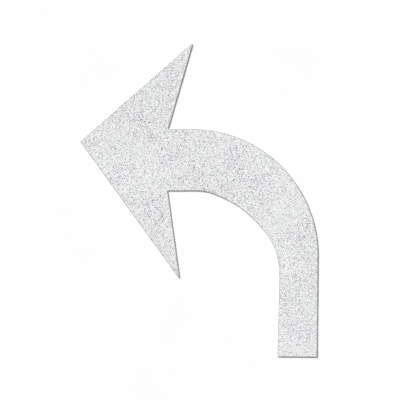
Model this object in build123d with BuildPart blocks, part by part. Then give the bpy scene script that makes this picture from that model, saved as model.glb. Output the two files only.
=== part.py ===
from build123d import *
import os
from math import cos, radians, sin

# Left-turn arrow pavement marking, cut from preformed thermoplastic sheet.
#
# The arrow lies flat on the road, in butt-jointed segments that each fit a shipping carton. A segment is
# a slab of thermoplastic with a thin coat of glass beads and grit on top of it. +Y points along the lane,
# the way that the traffic drives, +Z points up from the road, and the origin is under the middle of the
# bounding box, at road level. Sizes are in millimetres. The plan is drawn from the outer corner of the
# foot, then moved to that origin.

# Overall sizes, to the sharp corners. Rounding them leaves the arrow 2438.4 (8 ft) long and 1862.9 wide.
marking_length = 2452.65  # foot to upper barb, along the lane
marking_width = 1865.3  # nose to the shaft's outer side, across the lane
slab_thickness = 2.675
bead_coat_thickness = 0.5  # the slab and its coat make a sheet 125 mil thick

# Head: a swept triangle with two unequal barbs, also to its sharp corners
head_span = 1859.5  # barb to barb, along the lane: about 6 ft when they are rounded
nose_drop = 785.9  # from the upper barb down to the nose
upper_barb_setback = 876.4  # from the nose back to each barb, across the lane
lower_barb_setback = 788.1
notch_setback = 686.6  # from the nose back to where the shaft meets the head
shoulder_drop = 678.7  # from the upper barb down to the shaft's outer side

# Shaft: a straight neck, a quarter bend and a straight foot, tapering round the bend from neck to waist
neck_width = 486.3
neck_length = 195.1
neck_rise = 1.0  # degrees by which the neck's lower side rises, away from the head
taper_left = (0.968, 0.888, 0.693, 0.297)  # share of the taper still to come, at each step round the bend
taper_step = 20.0  # degrees
waist_width = 301.6
waist_below_bend = 187.5
foot_width = 311.5

# Cut edges
point_radius = 7.0  # nose and barbs, in plan
foot_corner_radius = 8.0
arris_radius = 0.3  # top edge of the bead coat

# Segments
nose_depth = 440.0  # nose to the first seam
bend_seam_angle = 45.0

# Corners of the plan
nose_x = -marking_width
nose_y = marking_length - nose_drop
notch_x = nose_x + notch_setback
shaft_top = marking_length - shoulder_drop
neck_bottom = shaft_top - neck_width
upper_barb = (nose_x + upper_barb_setback, marking_length)
lower_barb = (nose_x + lower_barb_setback, marking_length - head_span)
bend_radius = -notch_x - neck_length
bend_centre = (-bend_radius, shaft_top - bend_radius)


def inner_bend_point(angle, share):
    """The shaft's inner side at an angle round the bend, where this share of the taper is still to come."""
    reach = bend_radius - waist_width - share * (neck_width - waist_width)
    return (
        bend_centre[0] + reach * sin(radians(angle)),
        bend_centre[1] + reach * cos(radians(angle)),
    )


with BuildSketch() as head:
    with BuildLine():
        Polyline(
            (nose_x, nose_y),
            upper_barb,
            (notch_x, shaft_top),
            (notch_x, neck_bottom),
            lower_barb,
            close=True,
        )
    make_face()
    points = [v for v in vertices() if abs(v.X - notch_x) > point_radius]
    fillet(points, point_radius)

with BuildSketch() as shaft:
    with BuildLine():
        waist = (-waist_width, bend_centre[1] - waist_below_bend)
        bend_points = [
            inner_bend_point(taper_step * (step + 1), share)
            for step, share in enumerate(taper_left)
        ]
        neck_slope = (-cos(radians(neck_rise)), -sin(radians(neck_rise)))
        Line((notch_x, neck_bottom), (notch_x, shaft_top))
        Line((notch_x, shaft_top), (bend_centre[0], shaft_top))
        CenterArc(bend_centre, bend_radius, 90, -90)
        Line((0, bend_centre[1]), (0, 0))
        Line((0, 0), (-foot_width, 0))
        Line((-foot_width, 0), waist)
        Spline(
            waist,
            *reversed(bend_points),
            (notch_x, neck_bottom),
            tangents=((0, 1), neck_slope),
        )
    make_face()
    fillet(vertices().group_by(Axis.Y)[0], foot_corner_radius)

with BuildSketch() as arrow:
    add(head.sketch)
    add(shaft.sketch)

# The plan's middle goes to the origin, and every piece is drawn on one of these two levels.
middle = arrow.sketch.bounding_box().center()
ground = Plane(origin=(-middle.X, -middle.Y, 0))
slab_top = ground.offset(slab_thickness)

# Seams, as upright planes across the plan. The head and the shaft meet at the neck seam.
barb_seam_y = (shaft_top + neck_bottom) / 2
nose_seam = Plane(origin=(nose_x + nose_depth, 0, 0), z_dir=(1, 0, 0))
barb_seam = Plane(origin=(0, barb_seam_y, 0), z_dir=(0, 1, 0))
neck_seam = Plane(origin=(notch_x, 0, 0), z_dir=(1, 0, 0))
bend_seam = Plane(
    origin=(*bend_centre, 0),
    z_dir=(-cos(radians(bend_seam_angle)), sin(radians(bend_seam_angle)), 0),
)
foot_seam = Plane(origin=(0, bend_centre[1], 0), z_dir=(0, 1, 0))
seams = (nose_seam, barb_seam, neck_seam, bend_seam, foot_seam)

# Each segment is one outline, cut at its seams. TOP keeps the side that a seam's z_dir points to.
segments = {
    "nose": (head, [(nose_seam, Keep.BOTTOM)]),
    "upper_barb": (head, [(nose_seam, Keep.TOP), (barb_seam, Keep.TOP)]),
    "lower_barb": (head, [(nose_seam, Keep.TOP), (barb_seam, Keep.BOTTOM)]),
    "neck_bend": (shaft, [(bend_seam, Keep.TOP)]),
    "shaft_bend": (shaft, [(bend_seam, Keep.BOTTOM), (foot_seam, Keep.TOP)]),
    "foot": (shaft, [(foot_seam, Keep.BOTTOM)]),
}


def is_cut_edge(edge):
    """True for an edge of the arrow's own outline, and False for one that lies on a seam."""
    places = [ground.to_local_coords(edge @ t) for t in (0, 0.5, 1)]
    return not any(
        all(abs(seam.to_local_coords(place).Z) < arris_radius for place in places)
        for seam in seams
    )


os.makedirs("parts", exist_ok=True)
for name, (outline, cuts) in segments.items():
    with BuildSketch() as plan:
        add(outline.sketch)
        for seam, side in cuts:
            split(bisect_by=seam, keep=side)

    with BuildPart() as slab:
        with BuildSketch(ground):
            add(plan.sketch)
        extrude(amount=slab_thickness)
    slab.part.label = f"{name}_slab"
    export_step(slab.part, f"parts/{name}_slab.step")

    with BuildPart() as bead_coat:
        with BuildSketch(slab_top):
            add(plan.sketch)
        extrude(amount=bead_coat_thickness)
        top_edges = edges().group_by(Axis.Z)[-1]
        fillet(top_edges.filter_by(is_cut_edge), arris_radius)
    bead_coat.part.label = f"{name}_bead_coat"
    export_step(bead_coat.part, f"parts/{name}_bead_coat.step")
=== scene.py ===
"""Left-turn arrow pavement marking: the finished look of the thermoplastic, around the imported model.

The marking comes in six flat segments that lie edge to edge. Each segment is made of four pieces: the cut
slab of thermoplastic, the beaded top that is bonded to it, the glass beads that stand out of that top, and
the crushed grit that is pressed in between them. Lengths are in metres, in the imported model's own frame,
where +Y points along the lane and +Z points up from the road.
"""

from __future__ import annotations

import logging
import math
from dataclasses import dataclass
from enum import Enum
from typing import Any

import bpy
import numpy as np
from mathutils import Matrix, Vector, geometry, kdtree


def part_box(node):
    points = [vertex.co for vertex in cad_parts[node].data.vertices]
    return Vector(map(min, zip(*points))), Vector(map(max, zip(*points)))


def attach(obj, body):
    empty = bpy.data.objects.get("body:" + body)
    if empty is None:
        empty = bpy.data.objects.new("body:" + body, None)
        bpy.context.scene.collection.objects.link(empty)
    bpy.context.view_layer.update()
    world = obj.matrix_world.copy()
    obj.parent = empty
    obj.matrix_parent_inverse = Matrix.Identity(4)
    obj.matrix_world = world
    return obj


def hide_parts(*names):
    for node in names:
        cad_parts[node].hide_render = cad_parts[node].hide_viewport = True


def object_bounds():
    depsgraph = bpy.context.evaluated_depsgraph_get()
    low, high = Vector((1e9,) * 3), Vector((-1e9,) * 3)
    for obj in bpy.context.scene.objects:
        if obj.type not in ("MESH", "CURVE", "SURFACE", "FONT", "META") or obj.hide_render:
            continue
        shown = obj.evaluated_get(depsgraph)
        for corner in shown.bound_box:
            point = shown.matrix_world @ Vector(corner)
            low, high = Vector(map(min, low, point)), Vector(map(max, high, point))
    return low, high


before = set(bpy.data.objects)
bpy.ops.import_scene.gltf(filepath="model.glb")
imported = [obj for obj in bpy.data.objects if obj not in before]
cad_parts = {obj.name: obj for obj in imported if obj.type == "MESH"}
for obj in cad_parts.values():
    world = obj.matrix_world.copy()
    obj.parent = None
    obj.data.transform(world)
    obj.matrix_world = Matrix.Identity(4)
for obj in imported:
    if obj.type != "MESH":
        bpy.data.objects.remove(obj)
CAD_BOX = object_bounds()

LOG = logging.getLogger("marking")
MM = 0.001
SEGMENTS = ("nose", "upper_barb", "lower_barb", "neck_bend", "shaft_bend", "foot")
# Points nearer than this are one point, and a point this near to another segment lies on a seam.
WELD = 0.001 * MM
TOUCH = 0.02 * MM
# How near a point of the top is to a cut edge, which sets the painted edge shade, and how pale one grain of
# grit is, both from 0 to 1.
EDGE_SHADE = "painted_edge_shade"
TONE = "tone"


class Grain(Enum):
    """What is pressed into the top of the sheet."""

    GLASS_BEAD = "glass_beads"
    CRUSHED_GRIT = "grit"


# --------------------------------------------------------------------------------------------------
# Helpers
# --------------------------------------------------------------------------------------------------


def linear(hex_colour: str) -> tuple[float, float, float, float]:
    """Turns an sRGB hex colour into the linear colour that a shader takes.

    Args:
        hex_colour: six hex digits after a hash sign.

    Returns:
        Linear red, green and blue, and an alpha of one.
    """
    parts = [int(hex_colour[i : i + 2], 16) / 255 for i in (1, 3, 5)]
    return (*(p / 12.92 if p <= 0.04045 else ((p + 0.055) / 1.055) ** 2.4 for p in parts), 1.0)


def add_node(
    tree: bpy.types.NodeTree, kind: str, feeds: dict | None = None, **settings: Any
) -> bpy.types.Node:
    """Adds one node, with its settings and whatever feeds its inputs.

    Args:
        tree: the tree that gets the node.
        kind: the node's type name.
        feeds: for an input's name or number, either a plain value or the output socket to link to it.
        settings: the node's own properties.

    Returns:
        The new node.
    """
    node = tree.nodes.new(kind)
    for name, value in settings.items():
        setattr(node, name, value)
    for key, value in (feeds or {}).items():
        socket = node.inputs[key]
        if isinstance(value, bpy.types.NodeSocket):
            tree.links.new(value, socket)
        else:
            socket.default_value = value
    return node


def set_ramp(node: bpy.types.Node, stops: list[tuple[float, str]]) -> bpy.types.Node:
    """Gives a colour ramp its stops.

    Args:
        node: the ramp node.
        stops: each stop's place from 0 to 1, and its hex colour.

    Returns:
        The same node.
    """
    ramp = node.color_ramp
    while len(ramp.elements) < len(stops):
        ramp.elements.new(0.5)
    for element, (place, colour) in zip(ramp.elements, stops):
        element.position = place
        element.color = linear(colour)
    return node


def add_object(name: str, data: bpy.types.ID) -> bpy.types.Object:
    """Adds an object to the scene, at the origin.

    Args:
        name: the object's name.
        data: its mesh, light or camera.

    Returns:
        The object.
    """
    item = bpy.data.objects.new(name, data)
    bpy.context.scene.collection.objects.link(item)
    return item


def smooth_step(amount: np.ndarray) -> np.ndarray:
    """Eases a share of the way from 0 to 1, level at both ends."""
    held = np.clip(amount, 0, 1)
    return held * held * (3 - 2 * held)


@dataclass(frozen=True)
class Ripple:
    """Repeatable smooth noise over the plan.

    Attributes:
        cell: the spacing of the noise's lattice.
        seed: which noise it is.
    """

    cell: float
    seed: int

    def at(self, plan: np.ndarray) -> np.ndarray:
        """Reads the noise.

        Args:
            plan: x and y of each point.

        Returns:
            A value from -1 to 1 for each point.
        """
        size = 256
        table = np.random.default_rng(self.seed).uniform(-1, 1, (size, size))
        grid = plan / self.cell
        corner = np.floor(grid).astype(int)
        part = smooth_step(grid - corner)
        x0, y0 = corner[:, 0] % size, corner[:, 1] % size
        x1, y1 = (x0 + 1) % size, (y0 + 1) % size
        low = table[x0, y0] * (1 - part[:, 0]) + table[x1, y0] * part[:, 0]
        high = table[x0, y1] * (1 - part[:, 0]) + table[x1, y1] * part[:, 0]
        return low * (1 - part[:, 1]) + high * part[:, 1]


# --------------------------------------------------------------------------------------------------
# Finishes
# --------------------------------------------------------------------------------------------------


def start_material(name: str) -> tuple[bpy.types.Material, bpy.types.NodeTree, bpy.types.NodeSocket]:
    """Starts an empty node material that reads Object coordinates.

    Args:
        name: the material's name.

    Returns:
        The material, its tree and the Object coordinate socket.
    """
    material = bpy.data.materials.new(name)
    material.use_nodes = True
    tree = material.node_tree
    tree.nodes.clear()
    places = add_node(tree, "ShaderNodeTexCoord").outputs["Object"]
    return material, tree, places


def finish_material(tree: bpy.types.NodeTree, feeds: dict) -> None:
    """Ends a material in a Principled shader.

    Args:
        tree: the material's tree.
        feeds: the shader's inputs, as values or sockets.
    """
    shader = add_node(tree, "ShaderNodeBsdfPrincipled", feeds)
    add_node(tree, "ShaderNodeOutputMaterial", {"Surface": shader.outputs[0]})


@dataclass(frozen=True)
class CutThermoplastic:
    """Alkyd thermoplastic, extruded flat and die cut: dull, chalky white with faint drag marks on its walls.

    Attributes:
        white: the filler and titanium white of the mix.
        shade: the same mix where the knife has dragged or dust has stayed.
        streak: height of one drag mark on the wall.
        squeeze: a drag mark's height as a share of its length.
        depth: how deep a drag mark is.
        cloud: width of the clouding that poor mixing leaves.
        roughness: matt, as filler and pigment leave it.
        ior: that of the alkyd resin.
    """

    white: str = "#DDDEDF"
    shade: str = "#CDCECE"
    streak: float = 0.35 * MM
    squeeze: float = 0.02
    depth: float = 0.08 * MM
    cloud: float = 60 * MM
    roughness: float = 0.62
    ior: float = 1.5

    def build(self) -> bpy.types.Material:
        """Makes the material.

        Returns:
            The finished material.
        """
        material, tree, places = start_material("cut_white_thermoplastic")
        clouds = add_node(
            tree,
            "ShaderNodeTexNoise",
            {"Vector": places, "Scale": 1 / self.cloud, "Detail": 4.0, "Roughness": 0.6},
        )
        # The knife leaves marks that run along the wall, so the pattern is drawn out in the plan.
        squeeze = add_node(
            tree, "ShaderNodeMapping", {"Vector": places, "Scale": (self.squeeze, self.squeeze, 1.0)}
        )
        marks = add_node(
            tree,
            "ShaderNodeTexNoise",
            {"Vector": squeeze.outputs[0], "Scale": 1 / self.streak, "Detail": 3.0, "Roughness": 0.7},
        )
        both = add_node(
            tree, "ShaderNodeMath", {0: clouds.outputs["Fac"], 1: marks.outputs["Fac"]}, operation="MULTIPLY"
        )
        colour = set_ramp(
            add_node(tree, "ShaderNodeValToRGB", {"Fac": both.outputs[0]}),
            [(0.12, self.shade), (0.34, self.white)],
        )
        bump = add_node(
            tree,
            "ShaderNodeBump",
            {"Strength": 0.5, "Distance": self.depth, "Height": marks.outputs["Fac"]},
        )
        finish_material(
            tree,
            {
                "Base Color": colour.outputs[0],
                "Roughness": self.roughness,
                "IOR": self.ior,
                "Normal": bump.outputs[0],
            },
        )
        return material


@dataclass(frozen=True)
class BeadedThermoplastic:
    """The sheet's top, where beads and grit were dropped in while it was hot: pale and speckled all over.

    Attributes:
        pale: the binder between the grains.
        violet: the binder where its tint wanders to violet.
        teal: the binder where it wanders to teal.
        clump_tones: how dark a clump of grains is, from the darkest few to the palest many.
        painted_edge_shade: the darker grey painted along the free cut edges, as shade at the edge.
        clump: width of one clump of the speckle. Single grains are 1 to 2 mm and too fine to show from a
            lane's distance, so clumps of them are drawn instead.
        grain: width of the fine grain inside a clump.
        pull: how far the grain pulls a clump out of shape, as a share of the grain's width.
        grain_share: how much the grain changes a clump's tone.
        mottle: width of the patches where more or less grit fell.
        lean: how far those patches shift a clump's tone to the dark or the pale side.
        tint: width of the patches of violet and teal white.
        pit: depth of the pits between the grains.
        roughness: dull, because the grit scatters the light.
        specular: low, because a rough top mirrors little of a low sun.
        ior: that of the alkyd resin.
    """

    pale: str = "#F3F3F3"
    violet: str = "#F1F0F3"
    teal: str = "#F0F2F2"
    clump_tones: tuple[tuple[float, str], ...] = (
        (0.0, "#343538"),
        (0.07, "#6F7073"),
        (0.18, "#CDCECF"),
        (0.38, "#F5F5F5"),
        (0.56, "#FFFFFF"),
    )
    painted_edge_shade: str = "#7A7B7D"
    clump: float = 3.9 * MM
    grain: float = 1.6 * MM
    pull: float = 1.5
    grain_share: float = 0.5
    mottle: float = 450 * MM
    lean: float = 0.055
    tint: float = 230 * MM
    pit: float = 0.25 * MM
    roughness: float = 0.9
    specular: float = 0.15
    ior: float = 1.5

    def build(self) -> bpy.types.Material:
        """Makes the material.

        Returns:
            The finished material.
        """
        material, tree, places = start_material("beaded_white_thermoplastic")
        tints = add_node(
            tree,
            "ShaderNodeTexNoise",
            {"Vector": places, "Scale": 1 / self.tint, "Detail": 1.0, "Roughness": 0.5},
        )
        tinted = set_ramp(
            add_node(tree, "ShaderNodeValToRGB", {"Fac": tints.outputs["Fac"]}),
            [(0.38, self.violet), (0.5, self.pale), (0.62, self.teal)],
        )
        # The grain pulls the clumps out of shape, so that none has a straight side.
        grain = add_node(
            tree,
            "ShaderNodeTexNoise",
            {"Vector": places, "Scale": 1 / self.grain, "Detail": 2.0, "Roughness": 0.7},
        )
        pulled = add_node(
            tree,
            "ShaderNodeVectorMath",
            {0: grain.outputs["Color"], 1: (self.pull * self.grain,) * 3, 2: places},
            operation="MULTIPLY_ADD",
        )
        clumps = add_node(
            tree, "ShaderNodeTexVoronoi", {"Vector": pulled.outputs[0], "Scale": 1 / self.clump}, feature="F1"
        )
        tone = add_node(tree, "ShaderNodeSeparateColor", {0: clumps.outputs["Color"]})
        # Patches shift the tones a little, so that some areas look fuller of grit.
        patches = add_node(
            tree,
            "ShaderNodeTexNoise",
            {"Vector": places, "Scale": 1 / self.mottle, "Detail": 4.0, "Roughness": 0.6},
        )
        lean = add_node(
            tree,
            "ShaderNodeMapRange",
            {
                "Value": patches.outputs["Fac"],
                "From Min": 0.3,
                "From Max": 0.7,
                "To Min": -self.lean,
                "To Max": self.lean,
            },
        )
        leaning = add_node(tree, "ShaderNodeMath", {0: tone.outputs[0], 1: lean.outputs[0]}, operation="ADD")
        # Inside a clump the single grains still differ a little.
        grainy = add_node(
            tree,
            "ShaderNodeMath",
            {0: grain.outputs["Fac"], 1: self.grain_share, 2: leaning.outputs[0]},
            operation="MULTIPLY_ADD",
        )
        centred = add_node(
            tree, "ShaderNodeMath", {0: grainy.outputs[0], 1: self.grain_share / 2}, operation="SUBTRACT"
        )
        speckle = set_ramp(
            add_node(tree, "ShaderNodeValToRGB", {"Fac": centred.outputs[0]}), list(self.clump_tones)
        )
        colour = add_node(
            tree,
            "ShaderNodeMix",
            {0: 1.0, 6: tinted.outputs[0], 7: speckle.outputs[0]},
            data_type="RGBA",
            blend_type="MULTIPLY",
        )
        # Near the free cut edges the colour turns to a darker grey: painted shade along the edge.
        nearness = add_node(tree, "ShaderNodeAttribute", attribute_name=EDGE_SHADE)
        edge_shaded = add_node(
            tree,
            "ShaderNodeMix",
            {0: nearness.outputs["Fac"], 6: colour.outputs[2], 7: linear(self.painted_edge_shade)},
            data_type="RGBA",
        )
        bump = add_node(
            tree,
            "ShaderNodeBump",
            {"Strength": 0.35, "Distance": self.pit, "Height": grain.outputs["Fac"]},
        )
        finish_material(
            tree,
            {
                "Base Color": edge_shaded.outputs[2],
                "Roughness": self.roughness,
                "IOR": self.ior,
                "Specular IOR Level": self.specular,
                "Normal": bump.outputs[0],
            },
        )
        return material


@dataclass(frozen=True)
class SodaLimeBead:
    """Recycled soda-lime glass, flame-rounded: glossy and clear, so a half-sunk bead shows the white below.

    It is drawn as a glossy pale solid, because light that has gone through a bead comes back off that white.

    Attributes:
        clear: the white seen through the glass.
        roughness: low, because a flame has smoothed it.
        ior: that of soda-lime glass.
    """

    clear: str = "#E6E8E9"
    roughness: float = 0.2
    ior: float = 1.52

    def build(self) -> bpy.types.Material:
        """Makes the material.

        Returns:
            The finished material.
        """
        material, tree, _ = start_material("soda_lime_glass_bead")
        finish_material(
            tree, {"Base Color": linear(self.clear), "Roughness": self.roughness, "IOR": self.ior}
        )
        return material


@dataclass(frozen=True)
class CrushedGrit:
    """Crushed quartz and corundum, sieved: sharp matt grains, each of one tone, near white to charcoal.

    Attributes:
        tones: the grains' tones, from the darkest to the palest.
        roughness: that of a broken stone face.
        ior: that of quartz.
    """

    tones: tuple[tuple[float, str], ...] = (
        (0.0, "#3E3E3F"),
        (0.3, "#7C7B79"),
        (0.6, "#B4B1AC"),
        (1.0, "#E0DFDC"),
    )
    roughness: float = 0.75
    ior: float = 1.54

    def build(self) -> bpy.types.Material:
        """Makes the material.

        Returns:
            The finished material.
        """
        material, tree, _ = start_material("crushed_quartz_grit")
        tone = add_node(tree, "ShaderNodeAttribute", attribute_name=TONE)
        colour = set_ramp(
            add_node(tree, "ShaderNodeValToRGB", {"Fac": tone.outputs["Fac"]}), list(self.tones)
        )
        finish_material(
            tree, {"Base Color": colour.outputs[0], "Roughness": self.roughness, "IOR": self.ior}
        )
        return material


@dataclass(frozen=True)
class StudioPaper:
    """Matt white background paper, with the faint unevenness of its pulp.

    Attributes:
        white: the paper.
        shade: the paper where its pulp is thicker.
        pulp: width of one patch of thicker pulp.
    """

    white: str = "#F8F8F8"
    shade: str = "#F7F7F7"
    pulp: float = 700 * MM

    def build(self) -> bpy.types.Material:
        """Makes the material.

        Returns:
            The finished material.
        """
        material, tree, places = start_material("white_studio_paper")
        noise = add_node(
            tree, "ShaderNodeTexNoise", {"Vector": places, "Scale": 1 / self.pulp, "Detail": 2.0}
        )
        colour = set_ramp(
            add_node(tree, "ShaderNodeValToRGB", {"Fac": noise.outputs["Fac"]}),
            [(0.3, self.shade), (0.7, self.white)],
        )
        finish_material(
            tree, {"Base Color": colour.outputs[0], "Roughness": 1.0, "Specular IOR Level": 0.0}
        )
        return material


# --------------------------------------------------------------------------------------------------
# Outlines
# --------------------------------------------------------------------------------------------------


def read_outline(node: str) -> np.ndarray:
    """Reads the outline of a slab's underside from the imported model.

    Args:
        node: the slab's node name.

    Returns:
        x and y of each corner, counter-clockwise.
    """
    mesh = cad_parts[node].data
    corners = np.array([v.co for v in mesh.vertices])
    keys, merged = np.unique(np.round(corners / WELD).astype(int), axis=0, return_inverse=True)
    triangles = merged.reshape(-1)[np.array([list(p.vertices) for p in mesh.polygons])]
    lowest = keys[:, 2].min()
    under = triangles[(keys[triangles][:, :, 2] == lowest).all(axis=1)]
    sides = {(a, b) for t in under for a, b in zip(t, np.roll(t, -1))}
    onward = {a: b for a, b in sides if (b, a) not in sides}
    loop = [next(iter(sorted(onward)))]
    while onward[loop[-1]] != loop[0]:
        loop.append(onward[loop[-1]])
    plan = keys[loop][:, :2] * WELD
    return plan[::-1] if signed_area(plan) < 0 else plan


def signed_area(plan: np.ndarray) -> float:
    """The area inside a closed outline, positive when it runs counter-clockwise."""
    after = np.roll(plan, -1, axis=0)
    return 0.5 * float(np.sum(plan[:, 0] * after[:, 1] - plan[:, 1] * after[:, 0]))


def is_inside(plan: np.ndarray, outline: np.ndarray) -> np.ndarray:
    """Tells which points lie inside a closed outline.

    Args:
        plan: the points.
        outline: the outline's corners.

    Returns:
        True or false for each point.
    """
    inside = np.zeros(len(plan), bool)
    for (ax, ay), (bx, by) in zip(outline, np.roll(outline, -1, axis=0)):
        if ay != by:
            crosses = (ay > plan[:, 1]) != (by > plan[:, 1])
            inside ^= crosses & (plan[:, 0] < (bx - ax) * (plan[:, 1] - ay) / (by - ay) + ax)
    return inside


def distance_to_edges(plan: np.ndarray, outline: np.ndarray) -> np.ndarray:
    """How far each point is from a closed outline.

    Args:
        plan: the points.
        outline: the outline's corners.

    Returns:
        One distance for each point.
    """
    start, end = outline, np.roll(outline, -1, axis=0)
    along = end - start
    length2 = np.maximum((along**2).sum(axis=1), WELD**2)
    share = ((plan[:, None] - start) * along).sum(axis=2) / length2
    nearest = start + np.clip(share, 0, 1)[:, :, None] * along
    return np.linalg.norm(plan[:, None] - nearest, axis=2).min(axis=1)


def distance_to_points(plan: np.ndarray, marks: np.ndarray) -> np.ndarray:
    """How far each point is from the nearest of many marks.

    Args:
        plan: the points.
        marks: the marks.

    Returns:
        One distance for each point.
    """
    tree = kdtree.KDTree(len(marks))
    for i, (x, y) in enumerate(marks):
        tree.insert((x, y, 0), i)
    tree.balance()
    return np.array([tree.find((x, y, 0))[2] for x, y in plan])


@dataclass(frozen=True)
class CutLine:
    """How a segment's outline is drawn again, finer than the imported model's and with the die's small wander.

    Attributes:
        spacing: longest step between two points.
        sharp: a turn of more than this many degrees is a corner.
        straight: an edge longer than this is a true straight.
        wander: most that the cut strays to either side.
        waves: the ripples that the straying is made of, and each one's share of it.
        fade: the length over which the straying dies away towards a seam.
    """

    spacing: float = 3.5 * MM
    sharp: float = 12.0
    straight: float = 150 * MM
    wander: float = 0.9 * MM
    waves: tuple[tuple[Ripple, float], ...] = ((Ripple(70 * MM, 5), 0.7), (Ripple(18 * MM, 6), 0.3))
    fade: float = 30 * MM

    def is_corner(self, loop: np.ndarray) -> np.ndarray:
        """Marks the points where the outline turns sharply or a true straight ends.

        Args:
            loop: the outline's points.

        Returns:
            True or false for each point.
        """
        before, after = loop - np.roll(loop, 1, axis=0), np.roll(loop, -1, axis=0) - loop
        turn = np.degrees(
            np.arctan2(before[:, 0] * after[:, 1] - before[:, 1] * after[:, 0], (before * after).sum(axis=1))
        )
        longest = np.maximum(np.linalg.norm(before, axis=1), np.linalg.norm(after, axis=1))
        return (np.abs(turn) > self.sharp) | (longest > self.straight)

    def through(self, run: np.ndarray) -> np.ndarray:
        """Draws a smooth line through a run of points.

        Args:
            run: the points, from one corner to the next.

        Returns:
            Finer points, without the last one.
        """
        steps = np.linalg.norm(np.diff(run, axis=0), axis=1)
        slopes = np.diff(run, axis=0) / steps[:, None]
        tangents = np.empty_like(run)
        tangents[0], tangents[-1] = slopes[0], slopes[-1]
        if len(run) > 2:
            weight = (steps[:-1] / (steps[:-1] + steps[1:]))[:, None]
            tangents[1:-1] = slopes[:-1] * (1 - weight) + slopes[1:] * weight
            tangents[0] = 2 * slopes[0] - tangents[1]
            tangents[-1] = 2 * slopes[-1] - tangents[-2]
        fine = []
        for i, step in enumerate(steps):
            count = max(1, math.ceil(step / self.spacing))
            t = (np.arange(count) / count)[:, None]
            fine.append(
                (2 * t**3 - 3 * t**2 + 1) * run[i]
                + (t**3 - 2 * t**2 + t) * step * tangents[i]
                + (3 * t**2 - 2 * t**3) * run[i + 1]
                + (t**3 - t**2) * step * tangents[i + 1]
            )
        return np.concatenate(fine)

    def redraw(self, loop: np.ndarray) -> np.ndarray:
        """Draws the whole outline again at the finer spacing.

        Args:
            loop: the outline's points.

        Returns:
            The finer points.
        """
        corners = np.flatnonzero(self.is_corner(loop))
        turned = np.roll(loop, -corners[0], axis=0)
        stops = [*(corners - corners[0]), len(loop)]
        closed = np.concatenate([turned, turned[:1]])
        return np.concatenate([self.through(closed[a : b + 1]) for a, b in zip(stops[:-1], stops[1:])])

    def stray(self, plan: np.ndarray, on_seam: np.ndarray) -> np.ndarray:
        """Lets the cut wander, except at the seams, where two segments have to meet.

        Args:
            plan: the outline's points.
            on_seam: for each point, whether it lies on a seam.

        Returns:
            The moved points.
        """
        gap = np.full(len(plan), np.inf)
        for point in plan[on_seam]:
            gap = np.minimum(gap, np.linalg.norm(plan - point, axis=1))
        amount = sum(ripple.at(plan) * share for ripple, share in self.waves)
        amount *= self.wander * smooth_step(gap / self.fade)
        return plan + outward(plan) * amount[:, None]


def outward(plan: np.ndarray, shortest: float = 0.6) -> np.ndarray:
    """Mitred directions that move every side of a counter-clockwise outline out by the same distance.

    Args:
        plan: the outline's points.
        shortest: keeps the mitre at a very sharp corner from running away.

    Returns:
        One direction for each point, a little longer than one at a corner.
    """
    side = np.roll(plan, -1, axis=0) - plan
    side /= np.linalg.norm(side, axis=1)[:, None]
    after = np.stack([side[:, 1], -side[:, 0]], axis=1)
    before = np.roll(after, 1, axis=0)
    total = before + after
    return total / np.maximum((total * after).sum(axis=1), shortest)[:, None]


# --------------------------------------------------------------------------------------------------
# Sheets
# --------------------------------------------------------------------------------------------------


@dataclass(frozen=True)
class Relief:
    """How the beaded top rises and falls, in ripples of a few widths.

    Attributes:
        ripples: each ripple, and how far it goes up or down.
    """

    ripples: tuple[tuple[Ripple, float], ...] = (
        (Ripple(95 * MM, 11), 0.10 * MM),
        (Ripple(14 * MM, 12), 0.035 * MM),
        (Ripple(5 * MM, 13), 0.05 * MM),
    )

    def at(self, plan: np.ndarray) -> np.ndarray:
        """The top's height above its mean at each point of the plan."""
        return sum(ripple.at(plan) * height for ripple, height in self.ripples)


class ClosedSheet:
    """A closed mesh, gathered from rings of points and the caps that shut its ends."""

    def __init__(self) -> None:
        """Starts with no points and no faces."""
        self.places: list[np.ndarray] = []
        self.faces: list[list[int]] = []
        self.count = 0

    def add_points(self, plan: np.ndarray, heights: np.ndarray | float) -> np.ndarray:
        """Adds points.

        Args:
            plan: x and y of each point.
            heights: z of each point, or of all of them.

        Returns:
            The new points' numbers.
        """
        z = np.broadcast_to(heights, len(plan))
        self.places.append(np.column_stack([plan, z]))
        self.count += len(plan)
        return np.arange(self.count - len(plan), self.count)

    def add_wall(self, lower: np.ndarray, upper: np.ndarray) -> None:
        """Joins two rings of the same length by a band of faces that look outwards."""
        following = np.roll(np.arange(len(lower)), -1)
        self.faces += np.stack([lower, lower[following], upper[following], upper], axis=1).tolist()

    def add_cap(self, ring: np.ndarray, inner: np.ndarray, upward: bool) -> None:
        """Shuts a ring with triangles.

        Args:
            ring: the numbers of the points round the edge, counter-clockwise from above.
            inner: the numbers of the points inside it.
            upward: whether the cap looks up or down.
        """
        numbers = np.concatenate([ring, inner])
        # The triangulation works in single precision, so the test of what is inside does too.
        flat = np.concatenate(self.places)[numbers][:, :2].astype(np.float32).astype(float)
        edge = [(i, (i + 1) % len(ring)) for i in range(len(ring))]
        found = np.array(geometry.delaunay_2d_cdt([Vector(p) for p in flat], edge, [], 0, 0.0, False)[2])
        found = found[is_inside(flat[found].mean(axis=1), flat[: len(ring)])]
        triangles = numbers[found]
        self.faces += (triangles if upward else triangles[:, ::-1]).tolist()

    def build(self, name: str, sharp: float) -> bpy.types.Object:
        """Makes the object.

        Args:
            name: the piece's name.
            sharp: edges that turn by more than this many degrees stay crisp.

        Returns:
            The piece, at the origin, with its place in its mesh.
        """
        mesh = bpy.data.meshes.new(name)
        mesh.from_pydata(np.concatenate(self.places).tolist(), [], self.faces)
        mesh.shade_smooth()
        mesh.set_sharp_from_angle(angle=math.radians(sharp))
        return add_object(name, mesh)


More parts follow.
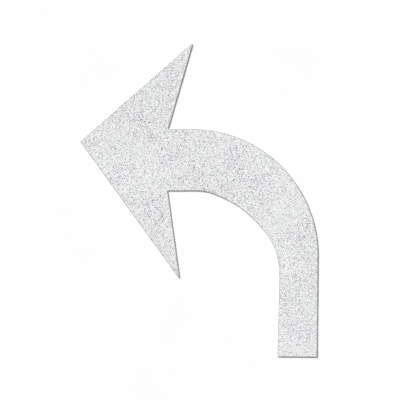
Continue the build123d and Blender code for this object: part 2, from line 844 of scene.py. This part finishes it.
@dataclass
class Segment:
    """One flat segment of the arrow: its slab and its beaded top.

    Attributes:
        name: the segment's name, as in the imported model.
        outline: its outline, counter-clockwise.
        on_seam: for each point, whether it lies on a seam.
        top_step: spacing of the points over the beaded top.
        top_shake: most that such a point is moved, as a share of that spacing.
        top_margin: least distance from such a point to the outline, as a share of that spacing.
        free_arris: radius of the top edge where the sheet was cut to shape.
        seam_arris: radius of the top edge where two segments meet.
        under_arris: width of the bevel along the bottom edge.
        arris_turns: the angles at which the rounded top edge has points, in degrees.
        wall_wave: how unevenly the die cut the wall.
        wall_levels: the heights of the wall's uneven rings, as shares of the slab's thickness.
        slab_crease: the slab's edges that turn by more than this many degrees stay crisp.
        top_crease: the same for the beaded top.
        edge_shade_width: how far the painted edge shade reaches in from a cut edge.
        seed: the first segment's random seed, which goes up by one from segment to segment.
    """

    name: str
    outline: np.ndarray
    on_seam: np.ndarray
    top_step: float = 3.0 * MM
    top_shake: float = 0.28
    top_margin: float = 0.8
    free_arris: float = 0.45 * MM
    seam_arris: float = 0.1 * MM
    under_arris: float = 0.25 * MM
    arris_turns: tuple[float, ...] = (0, 30, 60, 90)
    wall_wave: float = 0.08 * MM
    wall_levels: tuple[float, ...] = (0.35, 0.6, 0.82)
    slab_crease: float = 50.0
    top_crease: float = 60.0
    edge_shade_width: float = 7 * MM
    seed: int = 100

    def __post_init__(self) -> None:
        """Works out the directions and levels that both sheets share."""
        slab_low, slab_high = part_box(f"{self.name}_slab")
        self.road = slab_low.z
        self.layer = slab_high.z
        self.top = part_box(f"{self.name}_bead_coat")[1].z
        self.out = outward(self.outline)
        self.rng = np.random.default_rng(SEGMENTS.index(self.name) + self.seed)

    def ring(self, sheet: ClosedSheet, inset: np.ndarray | float, heights: np.ndarray | float) -> np.ndarray:
        """Adds the outline to a sheet, moved in by some distance.

        Args:
            sheet: the sheet that gets the points.
            inset: how far in, for all points or for each.
            heights: z, for all points or for each.

        Returns:
            The new points' numbers.
        """
        moved = self.outline - self.out * np.broadcast_to(inset, len(self.outline))[:, None]
        return sheet.add_points(moved, heights)

    def wall_wander(self) -> np.ndarray:
        """A small inset for each point of one ring of the wall, none on a seam."""
        return np.where(self.on_seam, 0.0, self.rng.uniform(0, self.wall_wave, len(self.outline)))

    def inner_points(self) -> np.ndarray:
        """Scatters the points that carry the top's relief, on a shaken triangular grid.

        Returns:
            x and y of each point.
        """
        low, high = self.outline.min(axis=0), self.outline.max(axis=0)
        row = self.top_step * math.sqrt(3) / 2
        x, y = np.meshgrid(np.arange(low[0], high[0], self.top_step), np.arange(low[1], high[1], row))
        x[1::2] += self.top_step / 2
        plan = np.column_stack([x.ravel(), y.ravel()])
        plan += self.rng.uniform(-self.top_shake, self.top_shake, plan.shape) * self.top_step
        plan = plan[is_inside(plan, self.outline)]
        return plan[distance_to_points(plan, self.outline) > self.top_margin * self.top_step]

    def build_slab(self) -> bpy.types.Object:
        """Makes the slab, with a worn bottom edge and a wall that the die cut a little unevenly.

        Returns:
            The slab.
        """
        sheet = ClosedSheet()
        under = self.ring(sheet, self.under_arris, self.road)
        rings = [under, self.ring(sheet, 0.0, self.road + self.under_arris)]
        for share in self.wall_levels:
            level = self.road + share * (self.layer - self.road)
            rings.append(self.ring(sheet, self.wall_wander(), level))
        rings.append(self.ring(sheet, 0.0, self.layer))
        for lower, upper in zip(rings[:-1], rings[1:]):
            sheet.add_wall(lower, upper)
        sheet.add_cap(under, np.array([], int), upward=False)
        sheet.add_cap(rings[-1], np.array([], int), upward=True)
        return sheet.build(f"{self.name}_cut_slab", self.slab_crease)

    def build_top(self, relief: Relief) -> bpy.types.Object:
        """Makes the beaded top: a thin closed sheet whose upper side carries the relief.

        Args:
            relief: how the upper side rises and falls.

        Returns:
            The beaded top, with each point's nearness to a cut edge as an attribute, which sets the painted
            edge shade.
        """
        sheet = ClosedSheet()
        arris = np.where(self.on_seam, self.seam_arris, self.free_arris)
        seat = self.ring(sheet, 0.0, self.layer)
        rings = [seat]
        rise = relief.at(self.outline - self.out * arris[:, None])
        for turn in self.arris_turns:
            inset = arris * (1 - math.cos(math.radians(turn)))
            drop = arris * (1 - math.sin(math.radians(turn)))
            rings.append(self.ring(sheet, inset, self.top + rise - drop))
        for lower, upper in zip(rings[:-1], rings[1:]):
            sheet.add_wall(lower, upper)
        inner = self.inner_points()
        numbers = sheet.add_points(inner, self.top + relief.at(inner))
        sheet.add_cap(seat, np.array([], int), upward=False)
        sheet.add_cap(rings[-1], numbers, upward=True)
        top = sheet.build(f"{self.name}_beaded_top", self.top_crease)
        plan = np.concatenate(sheet.places)[:, :2]
        # Points near a free cut edge, but not near a seam, get the painted edge shade.
        away = distance_to_points(plan, self.outline[~self.on_seam])
        painted_edge_shade = top.data.attributes.new(EDGE_SHADE, "FLOAT", "POINT")
        painted_edge_shade.data.foreach_set("value", np.clip(1 - away / self.edge_shade_width, 0, 1))
        return top


# --------------------------------------------------------------------------------------------------
# Beads and grit
# --------------------------------------------------------------------------------------------------


@dataclass(frozen=True)
class Scatter:
    """Grains of one kind, strewn over a beaded top by a Geometry Nodes tree.

    Attributes:
        grain: what is strewn.
        density: grains in a square metre.
        least: smallest grain's radius.
        most: largest grain's radius.
        sunk: how far a grain's middle lies under the surface, as a share of its radius.
        squash: a grain's height beside its width.
        seed: which scatter it is.
        faces_each: how many faces one grain has.
        variants: how many different grains there are to choose from.
        segments: a bead's faces round its waist.
        rings: a bead's faces from pole to pole.
        chipping: how far a grit grain's corners are pushed about, beside its radius.
        level: a face lies level where its normal's upward share is above this.
        tilt: most that a grain leans over, in radians.
    """

    grain: Grain
    density: float
    least: float
    most: float
    sunk: float
    squash: float
    seed: int
    faces_each: int
    variants: int = 6
    segments: int = 6
    rings: int = 4
    chipping: float = 1.6
    level: float = 0.97
    tilt: float = 0.5

    def tree(self) -> tuple[bpy.types.GeometryNodeTree, dict[str, str]]:
        """Makes the Geometry Nodes tree.

        Returns:
            The tree, and the identifier of each named input.
        """
        tree = bpy.data.node_groups.new(f"strew_{self.grain.value}", "GeometryNodeTree")
        face = tree.interface
        face.new_socket("Geometry", in_out="INPUT", socket_type="NodeSocketGeometry")
        names = {
            name: face.new_socket(name, in_out="INPUT", socket_type=f"NodeSocket{kind}").identifier
            for name, kind in (
                ("Density", "Float"),
                ("Least Radius", "Float"),
                ("Most Radius", "Float"),
                ("Sunk", "Float"),
                ("Squash", "Float"),
                ("Seed", "Int"),
                ("Finish", "Material"),
            )
        }
        face.new_socket("Geometry", in_out="OUTPUT", socket_type="NodeSocketGeometry")
        given = add_node(tree, "NodeGroupInput").outputs

        # Grains land only on the level top, not on its edges or its underside.
        normal = add_node(tree, "GeometryNodeInputNormal")
        split = add_node(tree, "ShaderNodeSeparateXYZ", {0: normal.outputs[0]})
        level = add_node(
            tree, "FunctionNodeCompare", {0: split.outputs[2], 1: self.level}, operation="GREATER_THAN"
        )
        spots = add_node(
            tree,
            "GeometryNodeDistributePointsOnFaces",
            {
                "Mesh": given["Geometry"],
                "Selection": level.outputs[0],
                "Density": given["Density"],
                "Seed": given["Seed"],
            },
        )
        radius = add_node(
            tree,
            "FunctionNodeRandomValue",
            {2: given["Least Radius"], 3: given["Most Radius"], "Seed": given["Seed"]},
            data_type="FLOAT",
        )
        depth = add_node(
            tree, "ShaderNodeMath", {0: radius.outputs[1], 1: given["Sunk"]}, operation="MULTIPLY"
        )
        deeper = add_node(tree, "ShaderNodeMath", {0: depth.outputs[0], 1: -1.0}, operation="MULTIPLY")
        offset = add_node(tree, "ShaderNodeCombineXYZ", {2: deeper.outputs[0]})
        seated = add_node(
            tree,
            "GeometryNodeSetPosition",
            {"Geometry": spots.outputs["Points"], "Offset": offset.outputs[0]},
        )
        turn = add_node(
            tree,
            "FunctionNodeRandomValue",
            {
                0: (-self.tilt, -self.tilt, 0.0),
                1: (self.tilt, self.tilt, math.tau),
                "Seed": given["Seed"],
            },
            data_type="FLOAT_VECTOR",
        )
        height = add_node(
            tree, "ShaderNodeMath", {0: radius.outputs[1], 1: given["Squash"]}, operation="MULTIPLY"
        )
        size = add_node(
            tree,
            "ShaderNodeCombineXYZ",
            {0: radius.outputs[1], 1: radius.outputs[1], 2: height.outputs[0]},
        )
        choice = add_node(
            tree,
            "FunctionNodeRandomValue",
            {4: 0, 5: self.variants - 1, "Seed": given["Seed"]},
            data_type="INT",
        )
        laid = add_node(
            tree,
            "GeometryNodeInstanceOnPoints",
            {
                "Points": seated.outputs[0],
                "Instance": self.shapes(tree),
                "Pick Instance": True,
                "Instance Index": choice.outputs[2],
                "Rotation": turn.outputs[0],
                "Scale": size.outputs[0],
            },
        )
        tone = add_node(
            tree, "FunctionNodeRandomValue", {2: 0.0, 3: 1.0, "Seed": given["Seed"]}, data_type="FLOAT"
        )
        toned = add_node(
            tree,
            "GeometryNodeStoreNamedAttribute",
            {"Geometry": laid.outputs[0], "Name": TONE, "Value": tone.outputs[1]},
            data_type="FLOAT",
            domain="INSTANCE",
        )
        real = add_node(tree, "GeometryNodeRealizeInstances", {0: toned.outputs[0]})
        dressed = add_node(
            tree, "GeometryNodeSetMaterial", {"Geometry": real.outputs[0], "Material": given["Finish"]}
        )
        add_node(tree, "NodeGroupOutput", {0: dressed.outputs[0]})
        return tree, names

    def shapes(self, tree: bpy.types.GeometryNodeTree) -> bpy.types.NodeSocket:
        """Adds the grains to choose from, each with a radius of one.

        Args:
            tree: the tree that gets them.

        Returns:
            The socket that gives them all, as instances.
        """
        joined = add_node(tree, "GeometryNodeGeometryToInstance")
        for variant in range(self.variants):
            if self.grain is Grain.GLASS_BEAD:
                body = add_node(
                    tree,
                    "GeometryNodeMeshUVSphere",
                    {"Segments": self.segments, "Rings": self.rings, "Radius": 1.0},
                )
                ready = add_node(tree, "GeometryNodeSetShadeSmooth", {"Geometry": body.outputs["Mesh"]})
            else:
                body = add_node(tree, "GeometryNodeMeshIcoSphere", {"Radius": 1.0, "Subdivisions": 1})
                chip = add_node(
                    tree,
                    "ShaderNodeTexNoise",
                    {"W": 7.3 * variant, "Scale": 1.1, "Detail": 0.0},
                    noise_dimensions="4D",
                )
                centred = add_node(
                    tree,
                    "ShaderNodeVectorMath",
                    {0: chip.outputs["Color"], 1: (0.5, 0.5, 0.5)},
                    operation="SUBTRACT",
                )
                push = add_node(
                    tree,
                    "ShaderNodeVectorMath",
                    {0: centred.outputs[0], "Scale": self.chipping},
                    operation="SCALE",
                )
                ready = add_node(
                    tree,
                    "GeometryNodeSetPosition",
                    {"Geometry": body.outputs["Mesh"], "Offset": push.outputs[0]},
                )
            tree.links.new(ready.outputs[0], joined.inputs[0])
        return joined.outputs[0]

    def unwrap(self, mesh: bpy.types.Mesh) -> None:
        """Gives every grain its own square of a UV map, because thousands of small islands are slow to pack.

        Args:
            mesh: the realized grains, in which each grain's faces follow one another.
        """
        counts = np.empty(len(mesh.polygons), int)
        mesh.polygons.foreach_get("loop_total", counts)
        grain = np.repeat(np.arange(len(counts)) // self.faces_each, counts)
        corner = np.concatenate([np.arange(n) for n in counts]) if len(counts) else np.array([], int)
        across = math.ceil(math.sqrt(len(counts) / self.faces_each))
        low, high = 0.15, 0.85
        square = np.array([(low, low), (high, low), (high, high), (low, high)])[corner]
        spots = (np.stack([grain % across, grain // across], axis=1) + square) / across
        layer = mesh.uv_layers.new(name="OFBake")
        layer.uv.foreach_set("vector", spots.ravel())

    def strew(self, bed: bpy.types.Object, name: str, finish: bpy.types.Material) -> bpy.types.Object:
        """Strews the grains over a beaded top.

        Args:
            bed: the beaded top.
            name: the new piece's name.
            finish: the grains' material.

        Returns:
            The grains as one plain mesh, at the origin.
        """
        tree, names = self.tree()
        modifier = bed.modifiers.new("strew", "NODES")
        modifier.node_group = tree
        for key, value in (
            ("Density", self.density),
            ("Least Radius", self.least),
            ("Most Radius", self.most),
            ("Sunk", self.sunk),
            ("Squash", self.squash),
            ("Seed", self.seed),
            ("Finish", finish),
        ):
            modifier[names[key]] = value
        shown = bpy.context.evaluated_depsgraph_get()
        mesh = bpy.data.meshes.new_from_object(bed.evaluated_get(shown), depsgraph=shown)
        bed.modifiers.remove(modifier)
        self.unwrap(mesh)
        mesh.name = name
        return add_object(name, mesh)


# --------------------------------------------------------------------------------------------------
# The marking and the studio
# --------------------------------------------------------------------------------------------------


@dataclass
class Marking:
    """The whole arrow, segment by segment.

    Attributes:
        cut: how the outlines are drawn.
        relief: how the beaded top rises and falls.
        beads: the glass beads.
        grit: the crushed grit.
    """

    cut: CutLine = CutLine()
    relief: Relief = Relief()
    beads: Scatter = Scatter(Grain.GLASS_BEAD, 14000, 0.5 * MM, 0.95 * MM, 0.15, 1.0, 21, 24)
    grit: Scatter = Scatter(Grain.CRUSHED_GRIT, 16000, 0.6 * MM, 1.3 * MM, 0.3, 0.75, 22, 20)

    def outlines(self) -> dict[str, tuple[np.ndarray, np.ndarray]]:
        """Draws every segment's outline and finds its seams.

        Returns:
            For each segment, its points and whether each one lies on a seam.
        """
        rough = {name: read_outline(f"{name}_slab") for name in SEGMENTS}
        drawn = {}
        for name, loop in rough.items():
            plan = self.cut.redraw(loop)
            others = [distance_to_edges(plan, other) for key, other in rough.items() if key != name]
            on_seam = np.min(others, axis=0) < TOUCH
            drawn[name] = (self.cut.stray(plan, on_seam), on_seam)
        return drawn

    def build(self) -> None:
        """Builds, dresses and mounts every piece."""
        slab_finish = CutThermoplastic().build()
        top_finish = BeadedThermoplastic().build()
        bead_finish = SodaLimeBead().build()
        grit_finish = CrushedGrit().build()
        for name, (outline, on_seam) in self.outlines().items():
            segment = Segment(name, outline, on_seam)
            slab = segment.build_slab()
            slab.data.materials.append(slab_finish)
            self.mount(slab, "thermoplastic", f"{name}_slab")
            top = segment.build_top(self.relief)
            beads = self.beads.strew(top, f"{name}_glass_beads", bead_finish)
            grit = self.grit.strew(top, f"{name}_grit", grit_finish)
            top.data.materials.append(top_finish)
            self.mount(top, "bead_coat", f"{name}_bead_coat")
            self.mount(beads, "glass_beads")
            self.mount(grit, "grit")

    def mount(self, piece: bpy.types.Object, slot: str, *nodes: str) -> None:
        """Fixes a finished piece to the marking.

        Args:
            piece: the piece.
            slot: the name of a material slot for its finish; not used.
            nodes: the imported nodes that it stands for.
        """
        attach(piece, "root")
        if nodes:
            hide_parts(*nodes)
        LOG.info("%s: %d faces", piece.name, len(piece.data.polygons))


@dataclass
class Studio:
    """A white paper floor under a low sun with soft edges, seen from straight above.

    Attributes:
        view_width: how much of the floor the picture shows from side to side.
        distance: how high the camera hangs.
        centre: what the camera looks at, from the middle of the marking.
        roll: the camera's turn about its own axis, in degrees.
        key_elevation: the key light's height above the floor, in degrees.
        key_heading: where the key light comes from, in degrees anticlockwise from +X.
        key_power: the key light's strength.
        key_angle: how wide the key light looks, in degrees, which softens its shadows.
        sky: strength of the even light from the white walls.
        wall: how bright the walls themselves look.
        floor_half: half the floor's width.
        floor_gap: how far the floor lies below the marking, so that the two don't flicker.
        sensor: the camera's sensor width, in millimetres as Blender takes it.
    """

    view_width: float = 3.124
    distance: float = 12.0
    centre: tuple[float, float] = (0.0057, -0.0004)
    roll: float = 0.5
    key_elevation: float = 14.0
    key_heading: float = 131.7
    key_power: float = 9.2
    key_angle: float = 5.0
    sky: float = 0.355
    wall: float = 0.985
    floor_half: float = 150.0
    floor_gap: float = 0.02 * MM
    sensor: float = 36.0

    def build(self) -> None:
        """Makes the floor, the lights and the camera."""
        self.build_floor()
        self.build_lights()
        self.build_camera()

    def build_floor(self) -> None:
        """Makes the paper floor, level with the underside of the marking."""
        h = self.floor_half
        mesh = bpy.data.meshes.new("studio_floor")
        mesh.from_pydata([(-h, -h, 0), (h, -h, 0), (h, h, 0), (-h, h, 0)], [], [(0, 1, 2, 3)])
        mesh.materials.append(StudioPaper().build())
        floor = add_object("studio_floor", mesh)
        floor.location.z = CAD_BOX[0].z - self.floor_gap

    def build_lights(self) -> None:
        """Makes the key light and the even light of the white walls."""
        rise, heading = math.radians(self.key_elevation), math.radians(self.key_heading)
        towards = Vector(
            (math.cos(rise) * math.cos(heading), math.cos(rise) * math.sin(heading), math.sin(rise))
        )
        light = bpy.data.lights.new("key", "SUN")
        light.energy = self.key_power
        light.angle = math.radians(self.key_angle)
        lamp = add_object("key", light)
        lamp.rotation_euler = towards.to_track_quat("Z", "Y").to_euler()
        world = bpy.data.worlds.new("white_walls")
        world.use_nodes = True
        tree = world.node_tree
        tree.nodes.clear()
        glow = add_node(tree, "ShaderNodeBackground", {"Color": linear("#FFFFFF"), "Strength": self.sky})
        # Past the edge of the floor the walls look as pale as the floor does.
        wall = add_node(tree, "ShaderNodeBackground", {"Color": linear("#FFFFFF"), "Strength": self.wall})
        seen = add_node(tree, "ShaderNodeLightPath")
        both = add_node(
            tree,
            "ShaderNodeMixShader",
            {0: seen.outputs["Is Camera Ray"], 1: glow.outputs[0], 2: wall.outputs[0]},
        )
        add_node(tree, "ShaderNodeOutputWorld", {"Surface": both.outputs[0]})
        bpy.context.scene.world = world

    def build_camera(self) -> None:
        """Makes the camera, straight above the marking."""
        lens = bpy.data.cameras.new("overhead")
        lens.sensor_width = self.sensor
        lens.lens = lens.sensor_width * self.distance / self.view_width
        lens.clip_end = 100.0
        camera = add_object("overhead", lens)
        middle = (CAD_BOX[0] + CAD_BOX[1]) / 2
        camera.location = (
            middle.x + self.centre[0],
            middle.y + self.centre[1],
            CAD_BOX[1].z + self.distance,
        )
        camera.rotation_euler = (0.0, 0.0, math.radians(self.roll))
        bpy.context.scene.camera = camera


def main() -> None:
    """Builds the marking and the studio round it."""
    logging.basicConfig(level=logging.INFO, format="%(name)s: %(message)s")
    scene = bpy.context.scene
    scene.view_settings.view_transform = "Standard"
    # The denoiser would take the speckle for noise and smear it.
    scene.cycles.use_denoising = False
    Marking().build()
    Studio().build()


if __name__ == "__main__":
    main()
